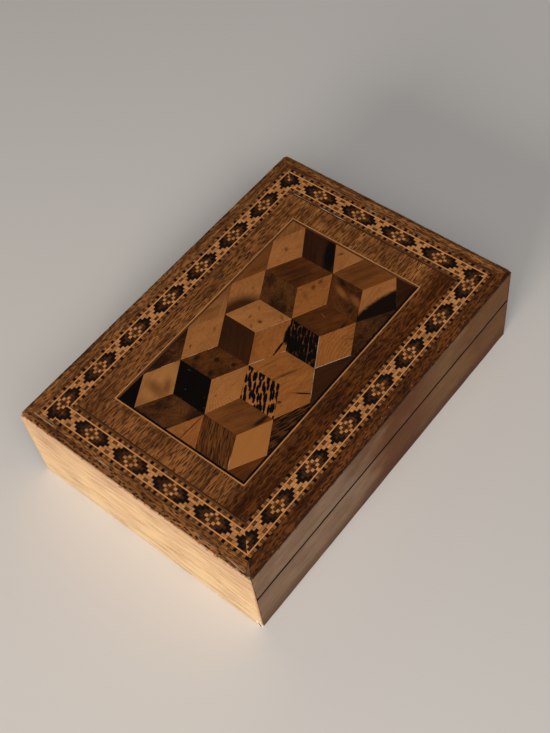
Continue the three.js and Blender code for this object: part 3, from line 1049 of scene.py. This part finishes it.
# Knots, cracks and dark heartwood: piece, then marks as described in stain().
MARKS = {
    "back_triangle_3": ((-2.0, 26.8, 4.0, 0.9, -25, 0.6, TAN),),
    "back_diamond_1": ((-38.8, 20.4, 4.2, 1.9, 80, 0.9, TAN), (-36, 17.5, 3.0, 1.2, 30, 0.8, TAN)),
    "back_diamond_2": ((-18.2, 22.2, 0.7, 0.3, 20, 0.7, BROWN), (-7.4, 20.0, 1.2, 0.4, 30, 0.8, TAN)),
    "back_diamond_3": ((4.8, 17.6, 9.0, 5.8, -30, 0.45, (62, 32, 12)),),
    "back_diamond_4": ((36.6, 21.9, 1.1, 0.8, 60, 0.8, TAN), (36.5, 21.8, 0.4, 0.3, 0, 0.7, BROWN)),
    "back_side_3": (
        (-17.1, 10.6, 1.0, 0.9, 0, 0.6, DARK), (-22.7, 8.7, 1.4, 1.0, 20, 0.7, DARK),
        (-20.6, 17.0, 1.3, 0.8, 0, 0.7, DARK), (-15.3, 4.4, 0.9, 0.7, 0, 0.6, DARK),
    ),
    "back_side_5": (
        (4.4, 13.0, 0.8, 0.5, 10, 0.7, TAN), (9.2, 12.6, 0.9, 0.4, 30, 0.7, TAN),
        (1.4, 10.0, 0.8, 0.5, 40, 0.7, TAN), (4.6, 8.5, 0.6, 0.8, 0, 0.6, BROWN),
        (10.6, 3.2, 1.1, 0.5, 60, 0.8, TAN),
    ),
    "back_side_8": ((43.0, 6.2, 8.0, 2.2, 30, 0.4, BLACK),),
    "middle_diamond_1": ((-44.0, -0.3, 6.0, 0.17, -3, 0.5, DARK),),
    "middle_diamond_2": ((-28.8, 1.1, 0.35, 0.25, 0, 0.5, BROWN),),
    "middle_diamond_3": ((-0.4, -4.3, 4.4, 0.42, 6, 0.4, BLACK), (6.2, -3.7, 4.6, 1.7, 24, 0.2, BLACK)),
    "middle_diamond_4": (
        (23.4, 2.4, 1.5, 0.9, 50, 0.9, TAN), (28.0, 2.2, 1.1, 0.7, 30, 0.8, BROWN),
        (31.7, 1.7, 1.2, 0.6, 0, 0.8, BROWN),
    ),
    "middle_diamond_5": ((46.4, 3.4, 1.2, 0.5, -40, 0.7, BROWN),),
    "middle_side_2": (
        (-27.3, -18.3, 3.4, 0.8, -12, 0.6, DARK), (-31.4, -13.0, 0.45, 0.2, -50, 0.3, TAN),
    ),
    "middle_side_4": ((-7.5, -5.6, 4.0, 0.35, -22, 0.8, TAN), (-8.2, -13.1, 4.4, 0.5, -28, 0.8, BROWN)),
    "middle_side_6": ((19.9, -8.5, 1.2, 0.15, 72, 0.8, TAN), (18.0, -17.3, 5.0, 0.5, 3, 0.6, DARK)),
    "middle_side_7": (
        (32.0, -7.6, 3.2, 1.0, 68, 0.7, (132, 80, 36)), (27.1, -15.4, 0.9, 0.5, 30, 0.6, DARK),
        (31.6, -14.6, 3.4, 1.2, 70, 0.8, (124, 74, 34)), (35.8, -5.2, 2.6, 1.0, 65, 0.8, DARK),
    ),
    "front_diamond_2": (
        (-18.4, -18.3, 1.2, 0.5, -50, 0.4, DARK), (-18.6, -18.1, 0.6, 0.25, -50, 0.3, TAN),
        (-10.6, -23.0, 3.4, 0.3, -58, 0.4, BLACK),
    ),
    "front_diamond_3": ((17.4, -22.6, 1.4, 0.2, -40, 0.5, BROWN),),
    "middle_side_5": ((3.6, -6.4, 5.5, 2.6, 75, 0.4, BLACK),),
    "front_diamond_4": ((32.0, -37.0, 30.0, 17.5, -16, 0.05, (22, 10, 4)),),
}
RINGS = {"middle_diamond_2": (-23.4, -4.6, 0.75), "front_diamond_3": (10.0, -30.0, 1.1)}

# Corners of the hand-cut pieces that sit off the regular lattice, in millimetres.
DRIFT = {
    (1, 0): (0, -0.4), (0, 3): (0, -0.8), (1, 2): (0, -0.3), (1, 4): (0, -0.6), (1, 6): (0, -0.8),
    (2, 3): (0, -0.4), (2, 5): (0, 0.7), (3, 8): (0.2, 1.0), (4, 7): (0, 1.2), (5, 2): (0.2, 1.0),
    (5, 6): (-0.5, 1.2), (5, 8): (-0.5, 1.4), (6, 1): (0, 0.7), (6, 5): (0.2, 0.7),
    (6, 7): (-0.3, 1.3), (7, 2): (0.4, 0.6), (7, 4): (0.4, 0.4), (7, 6): (0.4, 0.9),
    (8, 1): (0, 1.1), (8, 3): (0, 0.7), (8, 5): (0, 2.0), (8, 7): (0, 1.4),
}


def lattice(i, k):
    """Corner i half-widths from the near edge and k half-sides from the back edge."""
    regular = Vector((-PANEL.x + i * PANEL.x / 4, PANEL.y - k * PANEL.y / 4))
    return regular + Vector(DRIFT.get((i, k), (0, 0)))


def diamond(c, k):
    return [(c - 1, k), (c, k + 1), (c + 1, k), (c, k - 1)]


def sides(c, k):
    """The faces in front of the diamond at (c, k), as far as they lie on the panel."""
    left = [(c - 1, k), (c - 1, k + 2), (c, k + 3), (c, k + 1)]
    right = [(c, k + 1), (c, k + 3), (c + 1, k + 2), (c + 1, k)]
    return [left] * (c > 0) + [right] * (c < 8)


def parquetry_outlines():
    """Corners of every piece, row by row in the chart's order."""
    odd, even = (1, 3, 5, 7), (2, 4, 6)
    back = [[(c - 1, 0), (c, 1), (c + 1, 0)] for c in even]
    front = [[(c - 1, 8), (c + 1, 8), (c, 7)] for c in even]
    middle = [diamond(c, 4) for c in even]
    return {
        "back_triangle": [[(0, 0), (0, 1), (1, 0)], *back, [(7, 0), (8, 1), (8, 0)]],
        "back_diamond": [diamond(c, 1) for c in odd],
        "back_side": [side for c in odd for side in sides(c, 1)],
        "middle_diamond": [[(0, 3), (0, 5), (1, 4)], *middle, [(7, 4), (8, 5), (8, 3)]],
        "middle_side": [side for c in (0, *even, 8) for side in sides(c, 4)],
        "front_diamond": [diamond(c, 7) for c in odd],
        "front_triangle": [[(0, 7), (0, 8), (1, 8)], *front, [(7, 8), (8, 8), (8, 7)]],
    }


def piece_outline(row, corners):
    """Corner points; a front triangle also reaches the panel's edge under drifted corners."""
    points = [lattice(*corner) for corner in corners]
    if row != "front_triangle":
        return points
    full = []
    for point, (_, k) in zip(points, corners):
        if k == 8 and point.y > -PANEL.y + 0.1:
            edge = Vector((point.x, -PANEL.y))
            full += [edge, point] if point.x > points[0].x else [point, edge]
        else:
            full.append(point)
    return full


def grain_angle(row, index):
    """Side faces have their grain along their slanted edges, as a cube's sides would."""
    if "side" in row:
        forwards = index % 2 == (0 if row == "middle_side" else 1)
        return 30 if forwards else -30
    if row == "front_triangle":
        return -20
    return (12, -8, 25, -12, 30)[index % 5]


def make_parquetry():
    dice = random.Random(7)
    for row, outlines in parquetry_outlines().items():
        for index, (letter, corners) in enumerate(zip(CHART[row], outlines)):
            outline = piece_outline(row, corners)
            middle = sum(outline, Vector((0, 0))) / len(outline)
            tight = [p + d * BLOCK_GAP for p, d in zip(outline, inward_normals(outline))]
            turn = math.radians(grain_angle(row, index))
            piece = Solid()
            piece.board(
                tight, INLAY_Z, FACE + dice.uniform(-0.03, 0.02), seed=dice.uniform(0, 99),
                grain=(math.cos(turn), math.sin(turn), 0),
                origin=(middle.x, middle.y, FACE), shift=(0, 0, dice.uniform(0, 300)),
            )
            name = f"{row}_{index + 1}"
            material = wood(
                "parquetry_" + name, marks=MARKS.get(name, ()), rings=RINGS.get(name),
                middle=middle, turn=turn, relief=0.02, **SPECIES[letter],
            )
            piece.make("parquetry_" + name, [material], ["parquetry_panel"])


# ---- Pale slivers in the open joints: filler, and painted highlights where light catches a raised joint edge ----
SLIVER = 0.8
OPENING_PACE = 0.16  # per millimetre
FILLER_AND_GLINT_WIDTH = 0.2


def ribbon(solid, start, end, width, seed, fill):
    """Short pale slivers along a joint, where a slow noise says that it has opened; they are filler in
    the parquetry's joints and painted highlights on raised joint edges elsewhere.
    """
    start, end = Vector(start), Vector(end)
    length = (end - start).length
    count = max(2, round(length / SLIVER))
    along = (end - start).normalized()
    side = Vector((-along.y, along.x))
    for k in range(count):
        t0, t1 = k / count, (k + 1) / count
        paces = (t * length * OPENING_PACE for t in (t0, t1))
        openings = [noise.noise(Vector((pace, seed, 0))) + fill for pace in paces]
        if min(openings) <= 0.02:
            continue
        a, b = start.lerp(end, t0), start.lerp(end, t1)
        wa, wb = (side * (width * min(1.0, 2 * o) / 2) for o in openings)
        solid.block([a - wa, b - wb, b + wb, a + wa], INLAY_Z + 0.3, FACE + 0.02, 0.01)


def make_filler_and_glints():
    solid = Solid()
    run = [SIDE_Y - 3.4 - 1.4 * k for k in range(71)]
    # (from y, to y, how full) along the near banding's joint, which is nearly bare elsewhere; here the
    # slivers are partly filler and partly painted highlight on the joint's raised edge
    fills = ((40, 50, 0.35), (12, 21, 0.15), (-36, -26, 0.0), (-53, -39, 0.2))
    bare = -0.35
    for k, (y0, y1) in enumerate(zip(run, run[1:])):
        fill = max((f for low, high, f in fills if low < y0 < high), default=bare)
        ribbon(solid, (hairline(y0), y0), (hairline(y1), y1), FILLER_AND_GLINT_WIDTH, k * 0.23, fill)
    # (from corner, to corner, how full) between veneers of the parquetry
    open_joints = (
        ((4, 7), (5, 6), 0.35), ((4, 7), (5, 8), 0.5), ((4, 3), (5, 4), 0.1), ((2, 1), (3, 2), 0.1),
        ((4, 7), (3, 8), 0.1), ((3, 4), (4, 5), 0.15), ((0, 7), (1, 6), -0.1), ((1, 0), (2, 1), 0.0),
    )
    for k, (a, b, fill) in enumerate(open_joints):
        ribbon(solid, lattice(*a), lattice(*b), FILLER_AND_GLINT_WIDTH, 20 + k, fill)
    bx, dark_line = BANDING_IN.x, BORDER_OUT.x + 0.5
    # (from, to, width, how full) at the rim and along the far bands, where the slivers are painted
    # highlights on raised edges
    edges = (
        ((-74.2, -46), (-74.1, -51.6), 0.4, 0.4), ((dark_line, 37), (dark_line, 8), 0.3, 0.1),
        ((bx, 10), (bx, -8), 0.3, 0.0), ((-74.2, 51.6), (-72, 49.4), 0.2, 0.3),
    )
    for k, (start, end, width, fill) in enumerate(edges):
        ribbon(solid, start, end, width, 41 + k, fill)
    solid.make("joint_filler_and_glints", [filler_and_glints()], [])


def make_brass():
    metal = aged_brass()
    for name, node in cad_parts.items():
        if "hinge" in name:
            for place in node.material_slots:
                place.material = metal


make_camera()
make_stage()
make_carcass()
make_ends()
make_banding()
MOSAIC_WOODS = mosaic_woods()
make_mosaic()
make_border()
make_strings()
make_inner_lines()
make_parquetry()
make_filler_and_glints()
make_brass()
